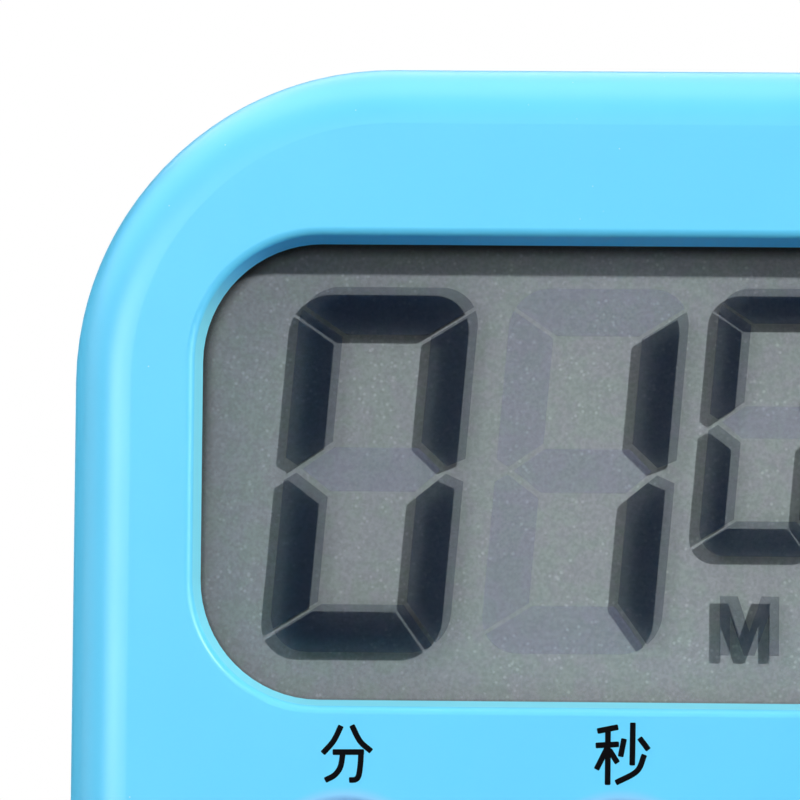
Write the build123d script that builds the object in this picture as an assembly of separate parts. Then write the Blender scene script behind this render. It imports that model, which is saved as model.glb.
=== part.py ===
"""Digital kitchen timer: a square case with a recessed display, three press keys, a fold-out
stand, magnets and a battery bay.

Millimetres, +Z up, +X to the right of the face, and the face looks towards -Y. The origin is
at the bottom centre of the whole timer. Depths are counted backwards from the flat face.
"""
from build123d import *
import math
import os

# Case
case_width = 65.0
case_height = 65.0
case_depth = 18.6
case_corner_radius = 18.7
face_edge_radius = 3.5
back_edge_radius = 2.5
front_wall = 2.0
side_wall = 2.0
back_wall = 1.8
parting_depth = 9.0
seam_chamfer = 0.25
lip_height = 1.4
lip_thickness = 0.9
lip_clearance = 0.12
rib_thickness = 1.0
least_inner_radius = 0.2

# Display window, measured at the flat face with its edge sharp
window_width = 50.7
window_height = 27.8
window_top_margin = 10.04
window_corner_radius = 7.5
window_edge_radius = 0.5
window_draft = 13.0

# Display
display_gap = 0.2
glass_margin = 0.8
glass_side_clearance = 0.15
polariser_thickness = 0.2
glass_thickness = 0.7
crystal_layer = 0.1
reflector_thickness = 0.25
foam_thickness = 0.95
ledge_height = 2.4
seal_width = 0.6
seal_inset = 0.1
display_rib_height = 2.2
side_rib_length = 18.0
end_rib_length = 10.0
zebra_width = 1.8
zebra_length = 44.0
zebra_side_gap = 0.25

# Digits of the display
digit_height = 21.6
digit_width = 10.62
digit_stroke = 2.69
digit_bar = 2.82
digit_pitch = 12.46
digit_slant = 4.77
digit_corner_radius = 2.3
digit_mitre_drop = 1.07
digit_heel_rise = 0.55
digit_left_tip = 0.72
digit_right_tip = 1.08
digit_mitre_gap = 0.24
digit_middle_gap = 0.22
digit_rise = 0.2
small_digit_ratio = 0.733
first_digit_x = -14.74
first_small_digit_x = 8.88
small_digit_rise = 2.96

# Keys and keypad
key_pitch = 16.13
key_radius = 4.95
key_hole_clearance = 0.25
key_hole_edge_radius = 0.4
key_top_below_window = 5.5
key_proud = 1.0
key_crown = 0.35
key_edge_radius = 0.45
key_flange_overlap = 0.7
key_flange_thickness = 0.8
key_seat_gap = 0.05
key_travel = 0.85
mat_thickness = 0.8
mat_edge = 1.2
mat_boss_gap = 0.3
dome_boss_radius = 2.6
dome_foot_radius = 4.3
dome_skirt = 0.4
dome_shoulder = 0.55
pill_radius = 1.8
pill_thickness = 0.4
pill_stop_gap = 0.05

# Circuit board
board_depth = 5.2
board_thickness = 1.0
board_half_width = 27.5
board_above_zebra = 1.2
board_edge_gap = 0.3
board_mat_margin = 0.25
board_corner_radius = 1.0
board_post_radius = 1.9
board_post_side_inset = 2.3
board_post_rise = 3.0
board_inner_post_drop = 0.9
controller_radius = 4.2
controller_height = 1.4
controller_x = -17.0
crystal_radius = 1.05
crystal_length = 6.2
crystal_x = 17.0
chip_length = 2.0
chip_width = 1.25
chip_height = 0.9
chip_count = 5
chip_pitch = 3.2
chip_screw_gap = 1.1

# Screws
screw_radius = 1.1
screw_hole_clearance = 0.05
screw_pass_clearance = 0.2
screw_end_room = 0.5
screw_head_radius = 2.1
screw_head_height = 1.5
screw_slot_width = 0.6
screw_slot_depth = 0.7
case_screw_length = 7.5
case_post_radius = 2.6
screw_well_radius = 2.35
screw_well_wall = 0.6
screw_web = 3.0
upper_screw_x = 16.0
upper_screw_drop = 5.0
lower_screw_inset = 5.1
board_screw_radius = 0.9
board_screw_length = 4.0
board_screw_end_room = 0.2
board_head_radius = 1.8
board_head_height = 1.2

# Battery bay
cell_radius = 5.25
cell_length = 44.5
cell_nub_radius = 1.9
cell_nub_height = 0.9
cell_edge_radius = 0.5
cell_clearance = 0.2
cell_side_clearance = 0.35
cell_drop = 18.0
plus_space = 1.6
minus_space = 2.8
bay_floor = 1.0
bay_wall = 1.0
door_ledge = 1.0
door_thickness = 1.6
door_clearance = 0.2
door_corner_radius = 1.2
door_tab_x = 15.0
door_tab_width = 6.0
door_tab_thickness = 1.05
door_tab_reach = 0.5
door_tab_neck = 0.9
door_tab_room = 0.3
latch_width = 11.0
latch_slot = 0.7
latch_length = 4.6
latch_rib = 1.4
grip_width = 9.0
grip_depth = 0.4
grip_rib_width = 0.7
grip_rib_count = 4
contact_thickness = 0.4
contact_back_width = 8.0
contact_tongue_width = 6.0
contact_tail_width = 2.0
contact_tail_length = 1.2
contact_slot_gap = 0.15
contact_end_gap = 0.4

# Stand
stand_width = 27.4
stand_door_gap = 2.1
stand_thickness = 2.4
stand_side_clearance = 0.3
stand_floor_clearance = 0.4
stand_axis_height = 8.5
stand_pin_radius = 0.95
stand_pin_clearance = 0.06
stand_pin_length = 1.3
stand_pin_end_gap = 0.1
stand_corner_radius = 4.0
stand_relief_depth = 0.6
stand_relief_margin = 4.0
pocket_wall = 1.6
pocket_floor = 1.4
finger_notch_radius = 5.0

# Magnets, hanging hole and sounder
magnet_radius = 5.0
magnet_thickness = 2.2
magnet_clearance = 0.1
magnet_x = 22.5
magnet_height = 25.0
magnet_cup_wall = 1.2
hanger_radius = 3.0
hanger_slot_width = 3.2
hanger_slot_rise = 3.4
hanger_drop = 7.4
hanger_pocket_depth = 2.6
hanger_pocket_wall = 1.0
buzzer_radius = 10.0
buzzer_thickness = 0.25
buzzer_ceramic_radius = 7.0
buzzer_ceramic_thickness = 0.2
buzzer_height = 22.0
buzzer_ring_radius = 8.6
buzzer_ring_width = 1.0
buzzer_ring_height = 0.8
sound_hole_radius = 0.9
sound_hole_circle = 4.0
sound_hole_count = 6
wire_radius = 0.45

# Places that follow from the sizes above
face_y = (key_proud - case_depth) / 2
case_centre_z = case_height / 2
draft_shift = front_wall * math.tan(math.radians(window_draft))
window_z = case_height - window_top_margin - window_height / 2

display_face = front_wall + display_gap
front_glass_face = display_face + polariser_thickness
crystal_face = front_glass_face + glass_thickness
rear_glass_face = crystal_face + crystal_layer
reflector_face = rear_glass_face + glass_thickness
reflector_back = reflector_face + reflector_thickness
glass_width = window_width - 2 * draft_shift + 2 * glass_margin
glass_height = window_height - 2 * draft_shift + 2 * glass_margin
glass_bottom = window_z - glass_height / 2
glass_top = window_z + glass_height / 2
ledge_bottom = glass_bottom - ledge_height
zebra_z = ledge_bottom + zebra_side_gap + zebra_width / 2

key_hole_radius = key_radius + key_hole_clearance
key_z = window_z - window_height / 2 - key_top_below_window - key_hole_radius
key_xs = (-key_pitch, 0.0, key_pitch)
key_flange_radius = key_hole_radius + key_flange_overlap
key_flange_face = front_wall + key_seat_gap
key_flange_back = key_flange_face + key_flange_thickness
dome_under = board_depth - key_travel - pill_stop_gap - pill_thickness
mat_face = board_depth - mat_thickness
mat_half_height = dome_foot_radius + mat_edge / 4

lower_screw_centre = case_corner_radius - lower_screw_inset
lower_screw_x = case_width / 2 - case_corner_radius + lower_screw_centre * math.sqrt(0.5)
lower_screw_z = case_corner_radius - lower_screw_centre * math.sqrt(0.5)
case_screw_places = (
    (-upper_screw_x, case_height - upper_screw_drop),
    (upper_screw_x, case_height - upper_screw_drop),
    (-lower_screw_x, lower_screw_z),
    (lower_screw_x, lower_screw_z),
)
screw_seat_depth = parting_depth + screw_web

board_bottom = key_z - mat_half_height - board_mat_margin
board_top = zebra_z + zebra_width / 2 + board_above_zebra
board_back = board_depth + board_thickness
board_middle_z = (board_bottom + board_top) / 2
outer_post_x = board_half_width - board_post_side_inset
outer_post_z = max(
    lower_screw_z + case_post_radius + board_post_rise,
    board_bottom + board_post_radius + board_edge_gap,
)
inner_post_z = ledge_bottom - board_inner_post_drop - board_post_radius
board_post_places = (
    (-outer_post_x, outer_post_z),
    (outer_post_x, outer_post_z),
    (-key_pitch / 2, inner_post_z),
    (key_pitch / 2, inner_post_z),
)
chip_top = inner_post_z - board_head_radius - chip_screw_gap

cell_z = case_height - cell_drop
cell_x = (minus_space - plus_space) / 2
bay_face = reflector_back + foam_thickness
bay_inside = bay_face + bay_floor
cell_depth = bay_inside + cell_clearance + cell_radius
ledge_depth = cell_depth + cell_radius + cell_clearance
door_back = ledge_depth + door_thickness
bay_back = max(door_back, case_depth)
bay_half_length = (cell_length + plus_space + minus_space) / 2
bay_half_height = cell_radius + cell_side_clearance
opening_half_length = bay_half_length + door_ledge
opening_half_height = bay_half_height + door_ledge
door_half_length = opening_half_length - door_clearance
door_half_height = opening_half_height - door_clearance
door_bottom = cell_z - door_half_height
tab_outer_depth = door_back - back_wall - door_clearance

stand_axis_depth = case_depth - stand_thickness / 2
stand_tip = door_bottom - stand_door_gap
stand_length = stand_tip - stand_axis_height
pocket_half_width = stand_width / 2 + stand_side_clearance
pocket_bottom = stand_axis_height - stand_thickness / 2 - stand_side_clearance
pocket_top = stand_tip + stand_side_clearance
pocket_face = case_depth - stand_thickness - stand_floor_clearance
pocket_front = pocket_face - pocket_floor
hanger_z = case_height - hanger_drop
buzzer_face = pocket_front - buzzer_ring_height


def depth_y(depth):
    """The Y of a depth behind the face."""
    return face_y + depth


def slab(outline, near, far):
    """An outline drawn in X and Z, filled between two depths."""
    placed = Plane.XZ.offset(-depth_y(far)) * outline
    return extrude(placed, amount=far - near)


def disc(x, z, radius, near, far):
    """A round post between two depths."""
    return slab(Pos(x, z) * Circle(radius), near, far)


def block(x_low, x_high, z_low, z_high, near, far):
    """A rectangular block between two depths."""
    outline = Pos((x_low + x_high) / 2, (z_low + z_high) / 2) * Rectangle(x_high - x_low, z_high - z_low)
    return slab(outline, near, far)


def turned(x, z, profile):
    """A profile of (radius, depth) points turned about the line through x and z."""
    points = [(radius, depth_y(depth)) for radius, depth in profile]
    face = make_face(Polyline(*points, close=True))
    return Pos(x, 0, z) * revolve(face, axis=Axis.Y)


def case_outline(inset=0.0):
    """The rounded square of the case, drawn in by an inset."""
    outline = RectangleRounded(case_width - 2 * inset, case_height - 2 * inset, case_corner_radius - inset)
    return Pos(0, case_centre_z) * outline


def edges_at_depth(part, depth):
    """The edges that lie in one plane behind the face."""
    return part.edges().filter_by_position(Axis.Y, depth_y(depth) - 0.01, depth_y(depth) + 0.01)


def window_cutter():
    """The tapered hole of the window, from the face to past the front wall."""
    outline = Pos(window_z, 0) * RectangleRounded(window_height, window_width, window_corner_radius)
    return extrude(Plane.ZX.offset(face_y) * outline, amount=front_wall, taper=window_draft)


def front_shell():
    """Front moulding: face, side walls, window, key holes, posts and locating ribs."""
    shell = slab(case_outline(), 0, parting_depth)
    shell = fillet(edges_at_depth(shell, 0), face_edge_radius)
    shell = chamfer(edges_at_depth(shell, parting_depth), seam_chamfer)
    cavity = slab(case_outline(side_wall), front_wall, parting_depth)
    inner_radius = max(face_edge_radius - max(front_wall, side_wall), least_inner_radius)
    shell -= fillet(edges_at_depth(cavity, front_wall), inner_radius)
    shell -= glass_pocket()
    shell -= window_cutter()
    window_edges = edges_at_depth(shell, 0).filter_by_position(
        Axis.Z, window_z - window_height / 2 - 0.01, window_z + window_height / 2 + 0.01
    ).filter_by_position(Axis.X, -window_width / 2 - 0.01, window_width / 2 + 0.01)
    shell = fillet(window_edges, window_edge_radius)
    for x in key_xs:
        hole = disc(x, key_z, key_hole_radius, 0, front_wall)
        shell -= hole
    hole_edges = edges_at_depth(shell, 0).filter_by(GeomType.CIRCLE).filter_by_position(
        Axis.Z, key_z - key_hole_radius, key_z + key_hole_radius
    )
    shell = fillet(hole_edges, key_hole_edge_radius)
    for x, z in case_screw_places:
        shell += disc(x, z, case_post_radius, front_wall, parting_depth)
    for x, z in board_post_places:
        shell += disc(x, z, board_post_radius, front_wall, board_depth)
    shell += display_ribs()
    for x in key_xs:
        shell -= disc(x, key_z, key_flange_radius + key_hole_clearance, front_wall,
                      key_flange_back + key_travel + key_seat_gap)
    pilot = screw_radius + screw_hole_clearance
    for x, z in case_screw_places:
        shell -= disc(x, z, pilot, screw_seat_depth - case_screw_length - screw_end_room, parting_depth)
    board_pilot = board_screw_radius + screw_hole_clearance
    pilot_bottom = board_back - board_screw_length - board_screw_end_room
    for x, z in board_post_places:
        shell -= disc(x, z, board_pilot, pilot_bottom, board_depth)
        shell -= disc(x, z, board_head_radius + screw_pass_clearance, board_back, parting_depth)
    return shell


def glass_pocket():
    """Room for the display glass, let into the walls where the case is too narrow for it."""
    half = glass_width / 2 + glass_side_clearance
    return block(-half, half, ledge_bottom - glass_side_clearance, glass_top + glass_side_clearance,
                 display_face, reflector_back)


def display_ribs():
    """Ribs on the front wall that locate the display glass from the sides and ends."""
    rib_back = front_wall + display_rib_height
    side_x = glass_width / 2 + glass_side_clearance
    top_z = glass_top + glass_side_clearance
    low_z = ledge_bottom - glass_side_clearance
    half_side = side_rib_length / 2
    half_end = end_rib_length / 2
    ribs = block(side_x, side_x + rib_thickness, window_z - half_side, window_z + half_side,
                 front_wall, rib_back)
    ribs += mirror(ribs, about=Plane.YZ)
    ribs += block(-half_end, half_end, top_z, top_z + rib_thickness, front_wall, rib_back)
    for x, _ in board_post_places[2:]:
        ribs += block(x - half_end / 2, x + half_end / 2, low_z - rib_thickness, low_z, front_wall, rib_back)
    return ribs


def screw_well(x, z):
    """Rear post round a case screw: from the parting plane to the back wall."""
    return disc(x, z, screw_well_radius + screw_well_wall, parting_depth, case_depth - back_wall)


def rear_cover():
    """Rear moulding with lip, screw wells, battery bay, stand pocket, magnet cups and hanging hole."""
    cover = slab(case_outline(), parting_depth, case_depth)
    cover = fillet(edges_at_depth(cover, case_depth), back_edge_radius)
    cover = chamfer(edges_at_depth(cover, parting_depth), seam_chamfer)
    cavity = slab(case_outline(side_wall), parting_depth, case_depth - back_wall)
    inner_radius = max(back_edge_radius - max(back_wall, side_wall), least_inner_radius)
    cover -= fillet(edges_at_depth(cavity, case_depth - back_wall), inner_radius)
    cover += case_lip()
    cover += bay_block()
    cover += block(
        -pocket_half_width - pocket_wall, pocket_half_width + pocket_wall,
        pocket_bottom - pocket_wall, pocket_top + pocket_wall, pocket_front, case_depth - back_wall,
    )
    for x, z in case_screw_places:
        cover += screw_well(x, z)
    for x in (-magnet_x, magnet_x):
        cup_radius = magnet_radius + magnet_clearance + magnet_cup_wall
        cup_front = case_depth - magnet_thickness - magnet_cup_wall
        cover += disc(x, magnet_height, cup_radius, cup_front, case_depth - back_wall)
    cover += hanger_block()
    cover += buzzer_ring()
    cover -= bay_cavity()
    cover -= stand_pocket()
    for x, z in case_screw_places:
        cover -= disc(x, z, screw_radius + screw_pass_clearance, parting_depth, screw_seat_depth)
        cover -= disc(x, z, screw_well_radius, screw_seat_depth, case_depth)
    for x in (-magnet_x, magnet_x):
        cover -= disc(x, magnet_height, magnet_radius + magnet_clearance,
                      case_depth - magnet_thickness, case_depth)
    cover -= hanger_cavity()
    cover -= sound_holes()
    return cover


def case_lip():
    """Tongue of the rear cover that slips inside the front moulding's wall."""
    near = parting_depth - lip_height
    outer = side_wall + lip_clearance
    lip = slab(case_outline(outer) - case_outline(outer + lip_thickness), near, parting_depth)
    root = slab(case_outline(side_wall / 2) - case_outline(outer + lip_thickness), parting_depth,
                parting_depth + lip_height)
    for x, z in case_screw_places:
        lip -= disc(x, z, case_post_radius + lip_clearance, near, parting_depth)
    return lip + root


def bay_block():
    """Solid block that the battery bay is cut from."""
    half_length = opening_half_length + bay_wall
    half_height = opening_half_height + bay_wall
    far = max(door_back, case_depth - back_wall)
    bay = block(-half_length, half_length, cell_z - half_height, cell_z + half_height, bay_face, far)
    return bay & slab(case_outline(side_wall + lip_clearance), bay_face, far)


def bay_cavity():
    """Battery bay, door recess, slots for the door's tabs and slots for the contact tails."""
    cavity = block(-bay_half_length, bay_half_length, cell_z - bay_half_height, cell_z + bay_half_height,
                   bay_inside, bay_back)
    opening = Pos(0, cell_z) * RectangleRounded(
        2 * opening_half_length, 2 * opening_half_height, door_corner_radius + door_clearance
    )
    cavity += slab(opening, ledge_depth, bay_back)
    tab_low = door_bottom - door_tab_reach - door_tab_room
    tab_front = tab_outer_depth - door_tab_thickness - door_tab_room
    half_tab = door_tab_width / 2 + door_tab_room
    for x in (-door_tab_x, door_tab_x):
        cavity += block(x - half_tab, x + half_tab, tab_low, cell_z, tab_front, door_back - back_wall)
        cavity += block(x - half_tab, x + half_tab, door_bottom - door_clearance, cell_z,
                        tab_front, bay_back)
    for side in (-1, 1):
        wall = side * bay_half_length
        plate = wall - side * contact_thickness
        x_low = min(wall, plate) - contact_slot_gap
        x_high = max(wall, plate) + contact_slot_gap
        half_tail = contact_tail_width / 2 + contact_slot_gap
        cavity += block(x_low, x_high, cell_z - opening_half_height - bay_wall, cell_z,
                        cell_depth - half_tail, cell_depth + half_tail)
    return cavity


def stand_pocket():
    """Pocket that the folded stand lies in, with its two pin holes."""
    pocket = block(-pocket_half_width, pocket_half_width, pocket_bottom, pocket_top, pocket_face, case_depth)
    pin_reach = pocket_half_width + stand_pin_length + stand_pin_end_gap
    pin_hole = Cylinder(stand_pin_radius + stand_pin_clearance, 2 * pin_reach)
    pocket += Pos(0, depth_y(stand_axis_depth), stand_axis_height) * Rot(0, 90, 0) * pin_hole
    return pocket


def hanger_block():
    """Cup behind the hanging hole that keeps a nail away from the inside."""
    half = hanger_radius + hanger_pocket_wall
    low = hanger_z - half
    high = hanger_z + hanger_slot_rise + hanger_pocket_wall
    front = case_depth - back_wall - hanger_pocket_depth - hanger_pocket_wall
    return block(-half, half, low, high, front, case_depth - back_wall)


def hanger_cavity():
    """Keyhole through the back wall and the hollow behind it."""
    slot_top = hanger_z + hanger_slot_rise - hanger_slot_width / 2
    hole = disc(0, hanger_z, hanger_radius, case_depth - back_wall, case_depth)
    hole += block(-hanger_slot_width / 2, hanger_slot_width / 2, hanger_z, slot_top,
                  case_depth - back_wall, case_depth)
    hole += disc(0, slot_top, hanger_slot_width / 2, case_depth - back_wall, case_depth)
    hole += block(-hanger_radius, hanger_radius, hanger_z - hanger_radius, hanger_z + hanger_slot_rise,
                  case_depth - back_wall - hanger_pocket_depth, case_depth - back_wall)
    return hole


def buzzer_ring():
    """Ring that the sounder is glued to, on the inside of the stand pocket."""
    ring = Circle(buzzer_ring_radius) - Circle(buzzer_ring_radius - buzzer_ring_width)
    return slab(Pos(0, buzzer_height) * ring, buzzer_face, pocket_front)


def sound_holes():
    """Small round holes through the pocket floor, one in the middle and a circle of them."""
    holes = disc(0, buzzer_height, sound_hole_radius, pocket_front, pocket_face)
    for index in range(sound_hole_count):
        angle = 2 * math.pi * index / sound_hole_count
        x = sound_hole_circle * math.cos(angle)
        z = buzzer_height + sound_hole_circle * math.sin(angle)
        holes += disc(x, z, sound_hole_radius, pocket_front, pocket_face)
    return holes


def battery_door():
    """Door that tips out on two tabs at its lower edge, with a latch tongue and a ribbed grip."""
    outline = RectangleRounded(2 * door_half_length, 2 * door_half_height, door_corner_radius)
    door = slab(Pos(0, cell_z) * outline, ledge_depth, door_back)
    door_top = cell_z + door_half_height
    for side in (-1, 1):
        slot_x = side * latch_width / 2
        door -= block(slot_x - latch_slot / 2, slot_x + latch_slot / 2, door_top - latch_length, door_top,
                      ledge_depth, door_back)
    grip_low = cell_z - grip_width / 4
    grip_high = cell_z + grip_width / 4
    door -= block(-grip_width / 2, grip_width / 2, grip_low, grip_high, door_back - grip_depth, door_back)
    grip_step = (grip_high - grip_low) / (grip_rib_count + 1)
    for index in range(grip_rib_count):
        rib_z = grip_low + (index + 1) * grip_step
        half_rib = min(grip_rib_width, 0.7 * grip_step) / 2
        door += block(-grip_width / 2, grip_width / 2, rib_z - half_rib, rib_z + half_rib,
                      door_back - grip_depth, door_back)
    swing_reach = door_half_height + bay_half_height - door_clearance
    rib_top = door_bottom + math.sqrt(swing_reach ** 2 - (door_thickness + latch_rib) ** 2)
    door += block(-latch_width / 3, latch_width / 3, rib_top - rib_thickness, rib_top,
                  ledge_depth - latch_rib, ledge_depth)
    tab_front = tab_outer_depth - door_tab_thickness
    for x in (-door_tab_x, door_tab_x):
        x_low = x - door_tab_width / 2
        x_high = x + door_tab_width / 2
        door += block(x_low, x_high, door_bottom - door_tab_reach, door_bottom + door_tab_neck,
                      tab_front, tab_outer_depth)
        door += block(x_low, x_high, door_bottom, door_bottom + door_tab_neck, tab_front, ledge_depth)
    return door


def stand():
    """Fold-out leg: a plate with a round heel, moulded pins, a shallow relief and a finger notch."""
    half = stand_width / 2
    outline = Pos(0, (stand_axis_height + stand_tip) / 2) * Rectangle(stand_width, stand_length)
    plate = slab(outline, case_depth - stand_thickness, case_depth)
    tip_edges = plate.edges().filter_by(Axis.Y).group_by(Axis.Z)[-1]
    plate = fillet(tip_edges, stand_corner_radius)
    axis_place = Pos(0, depth_y(stand_axis_depth), stand_axis_height) * Rot(0, 90, 0)
    plate += axis_place * Cylinder(stand_thickness / 2, stand_width)
    plate += axis_place * Cylinder(stand_pin_radius, 2 * (half + stand_side_clearance + stand_pin_length))
    relief_low = stand_axis_height + stand_relief_margin
    relief_high = stand_tip - finger_notch_radius - stand_relief_margin
    relief = Pos(0, (relief_low + relief_high) / 2) * RectangleRounded(
        stand_width - 2 * stand_relief_margin, relief_high - relief_low, stand_relief_margin / 2
    )
    plate -= slab(relief, case_depth - stand_relief_depth, case_depth)
    plate -= disc(0, stand_tip, finger_notch_radius, case_depth - stand_thickness, case_depth)
    return plate


def key_cap(x):
    """Round key cap with a crowned top and a flange behind the front wall."""
    top = -key_proud
    rim = top + key_crown
    crown = ThreePointArc(
        (0, depth_y(top)),
        (key_radius / 2, depth_y(top + key_crown / 4)),
        (key_radius, depth_y(rim)),
    )
    sides = Polyline(
        (key_radius, depth_y(rim)),
        (key_radius, depth_y(key_flange_face)),
        (key_flange_radius, depth_y(key_flange_face)),
        (key_flange_radius, depth_y(key_flange_back)),
        (0, depth_y(key_flange_back)),
        (0, depth_y(top)),
    )
    cap = revolve(make_face([crown, *sides.edges()]), axis=Axis.Y)
    cap = fillet(edges_at_depth(cap, rim), key_edge_radius)
    return Pos(x, 0, key_z) * cap


def rubber_keypad():
    """Silicone mat on the board with one hollow dome under each key."""
    half_width = key_pitch + dome_foot_radius + mat_edge
    mat = block(-half_width, half_width, key_z - mat_half_height, key_z + mat_half_height,
                mat_face, board_depth)
    for x, z in board_post_places:
        mat -= disc(x, z, board_post_radius + mat_boss_gap, mat_face, board_depth)
    for x, z in case_screw_places:
        mat -= disc(x, z, case_post_radius + mat_boss_gap, mat_face, board_depth)
    dome = (
        (0, key_flange_back),
        (dome_boss_radius, key_flange_back),
        (dome_boss_radius, key_flange_back + dome_shoulder),
        (dome_foot_radius, mat_face),
        (dome_foot_radius, board_depth),
        (dome_foot_radius - dome_skirt, board_depth),
        (dome_foot_radius - dome_skirt, mat_face + dome_skirt),
        (dome_boss_radius - dome_skirt / 2, dome_under),
        (0, dome_under),
    )
    for x in key_xs:
        mat -= disc(x, key_z, dome_foot_radius - dome_skirt / 2, mat_face, board_depth)
        mat += turned(x, key_z, dome)
    return mat


def contact_pill(x):
    """Conductive pill under a dome."""
    return disc(x, key_z, pill_radius, dome_under, dome_under + pill_thickness)


def glass_plate(low, near, far):
    """A display layer from a lower edge to the top of the glass."""
    return block(-glass_width / 2, glass_width / 2, low, glass_top, near, far)


def lcd_cell_seal():
    """Thin glue frame between the two glass plates."""
    width = glass_width - 2 * seal_inset
    height = glass_height - 2 * seal_inset
    frame = Rectangle(width, height) - Rectangle(width - 2 * seal_width, height - 2 * seal_width)
    return slab(Pos(0, window_z) * frame, crystal_face, rear_glass_face)


def corner_arc(radius, first_angle, last_angle):
    """Points of a rounded corner, from the corner's tip at (0, 0), rightwards and downwards inside."""
    steps = 8
    angles = [first_angle + (last_angle - first_angle) * step / steps for step in range(steps + 1)]
    return [(radius + radius * math.cos(angle), radius * math.sin(angle) - radius) for angle in angles]


def mitre_angle(radius, start, slope):
    """Angle at which a mitre line, that starts below the tip and falls inwards, meets the corner arc."""
    lift = radius - start
    half = radius + slope * lift
    square = 1 + slope ** 2
    x = (half - math.sqrt(half ** 2 - square * lift ** 2)) / square
    return math.atan2(lift - slope * x, x - radius)


def mitred_corner(ratio, drop):
    """Ends of a bar and of a side segment at a rounded corner whose tip is at (0, 0)."""
    stroke = digit_stroke * ratio
    bar = digit_bar * ratio
    radius = digit_corner_radius * ratio
    slope = (bar - drop * ratio) / stroke
    half_gap = digit_mitre_gap * ratio / 2 * math.hypot(1, slope)
    bar_end = corner_arc(radius, math.pi / 2, mitre_angle(radius, drop * ratio - half_gap, slope))
    side_end = corner_arc(radius, mitre_angle(radius, drop * ratio + half_gap, slope), math.pi)
    bar_inside = (stroke + half_gap / slope, -bar)
    side_inside = (stroke, -bar - half_gap)
    return bar_end + [bar_inside], [side_inside] + side_end


def bar_segment(ratio, left_drop, right_drop):
    """The top bar of a digit, about the digit's middle, mitred at both ends."""
    half_w = digit_width * ratio / 2
    half_h = digit_height * ratio / 2
    left_end, _ = mitred_corner(ratio, left_drop)
    right_end, _ = mitred_corner(ratio, right_drop)
    left = [(x - half_w, z + half_h) for x, z in left_end]
    right = [(half_w - x, z + half_h) for x, z in reversed(right_end)]
    return left + right


def side_segment(ratio, drop, tip):
    """The upper left segment of a digit, about the digit's middle, with its lower point at the tip."""
    half_w = digit_width * ratio / 2
    half_h = digit_height * ratio / 2
    stroke = digit_stroke * ratio
    bar = digit_bar * ratio
    middle = digit_middle_gap * ratio
    _, side_end = mitred_corner(ratio, drop)
    return [(x - half_w, z + half_h) for x, z in reversed(side_end)] + [
        (stroke - half_w, bar / 2 + middle),
        (tip * ratio - half_w, middle),
        (-half_w, bar * 0.24),
    ]


def middle_segment(ratio):
    """The middle bar of a digit, pointed at both ends."""
    half_w = digit_width * ratio / 2
    half_bar = (digit_bar - digit_middle_gap) * ratio / 2
    shoulder = (digit_stroke + digit_mitre_gap / 2) * ratio
    left_tip = (digit_left_tip + 1.5 * digit_middle_gap) * ratio
    right_tip = (digit_right_tip + 1.5 * digit_middle_gap) * ratio
    return [
        (left_tip - half_w, 0),
        (shoulder - half_w, half_bar),
        (half_w - shoulder, half_bar),
        (half_w - right_tip, 0),
        (half_w - shoulder, -half_bar),
        (shoulder - half_w, -half_bar),
    ]


def segment_outlines(ratio):
    """The seven segments of one digit, upright and about its middle, as lists of points."""
    drop = digit_mitre_drop
    heel = -digit_heel_rise
    left = side_segment(ratio, drop, digit_left_tip)
    right = side_segment(ratio, drop, digit_right_tip)
    lower_right = side_segment(ratio, heel, digit_right_tip)
    return {
        "a": bar_segment(ratio, drop, drop),
        "b": [(-x, z) for x, z in right],
        "c": [(-x, -z) for x, z in lower_right],
        "d": [(x, -z) for x, z in bar_segment(ratio, drop, heel)],
        "e": [(x, -z) for x, z in left],
        "f": left,
        "g": middle_segment(ratio),
    }


def digit_places():
    """Each digit's middle, its size ratio and the segments that are lit."""
    small_pitch = digit_pitch * small_digit_ratio
    digit_z = window_z + digit_rise
    small_z = digit_z + small_digit_rise
    return (
        (first_digit_x, digit_z, 1.0, "abcdef"),
        (first_digit_x + digit_pitch, digit_z, 1.0, "bc"),
        (first_small_digit_x, small_z, small_digit_ratio, "abcdef"),
        (first_small_digit_x + small_pitch, small_z, small_digit_ratio, "abcdef"),
    )


def lcd_segments(lit):
    """The lit or the unlit segments of all digits, leaned to the right, in the crystal layer."""
    lean = math.tan(math.radians(digit_slant))
    bars = []
    for x, z, ratio, shown in digit_places():
        for name, points in segment_outlines(ratio).items():
            if (name in shown) == lit:
                leaned = [(x + px + lean * pz, z + pz) for px, pz in points]
                bars.append(slab(make_face(Polyline(*leaned, close=True)), crystal_face, rear_glass_face))
    return Compound(children=[bar.solid() for bar in bars])


def lcd_backing_foam():
    """Foam block between the reflector and the front of the battery bay."""
    half = opening_half_height + bay_wall - seal_width
    return block(-glass_width / 2 + glass_margin, glass_width / 2 - glass_margin,
                 cell_z - half, min(cell_z + half, glass_top), reflector_back, bay_face)


def zebra_connector():
    """Rubber contact strip between the glass ledge and the board."""
    return block(-zebra_length / 2, zebra_length / 2, zebra_z - zebra_width / 2, zebra_z + zebra_width / 2,
                 crystal_face, board_depth)


def circuit_board():
    """Board with four screw holes, kept clear of the case walls and screw posts."""
    outline = Pos(0, board_middle_z) * RectangleRounded(
        2 * board_half_width, board_top - board_bottom, board_corner_radius
    )
    board = slab(outline & case_outline(side_wall + board_edge_gap), board_depth, board_back)
    for x, z in case_screw_places:
        board -= disc(x, z, case_post_radius + board_edge_gap, board_depth, board_back)
    for x, z in board_post_places:
        board -= disc(x, z, board_screw_radius + screw_hole_clearance, board_depth, board_back)
    return board


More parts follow.
